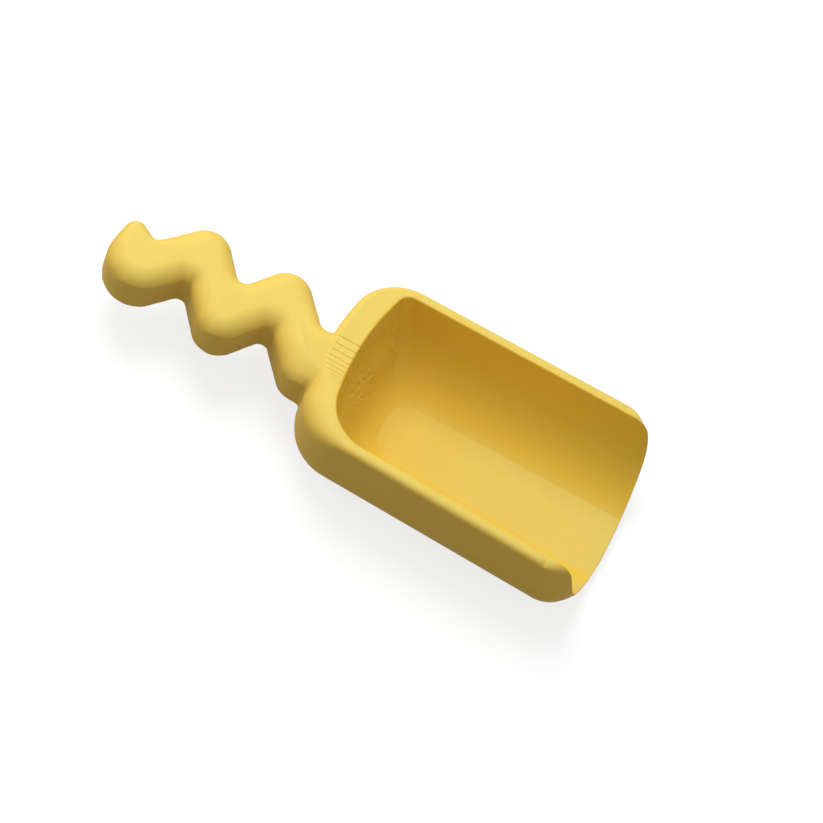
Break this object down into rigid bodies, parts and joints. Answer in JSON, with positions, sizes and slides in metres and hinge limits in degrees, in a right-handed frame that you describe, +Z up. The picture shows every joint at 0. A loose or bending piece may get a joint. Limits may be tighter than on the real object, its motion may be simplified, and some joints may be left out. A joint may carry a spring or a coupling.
{
  "type": "sand shovel",
  "caption": "Toy sand shovel in matte yellow plastic: a deep open U-section scoop with a thick rounded back wall, and a chunky zigzag grip pinned to its back with dowels.",
  "frame": {"origin": "middle of the bounding box in X and Y, on the flat underside at z = 0", "axes": "X along the shovel from grip to lip, Y across it, Z up out of the open bowl"},
  "size_m": [0.2023, 0.073, 0.037],
  "materials": {
    "printed_yellow": "matte, with fine print layers",
    "dowel_yellow": "matte"
  },
  "bodies": {
    "root": {"scoop_body": "printed_yellow", "handle": "printed_yellow", "dowel_upper": "dowel_yellow", "dowel_lower": "dowel_yellow"}
  },
  "joints": []
}
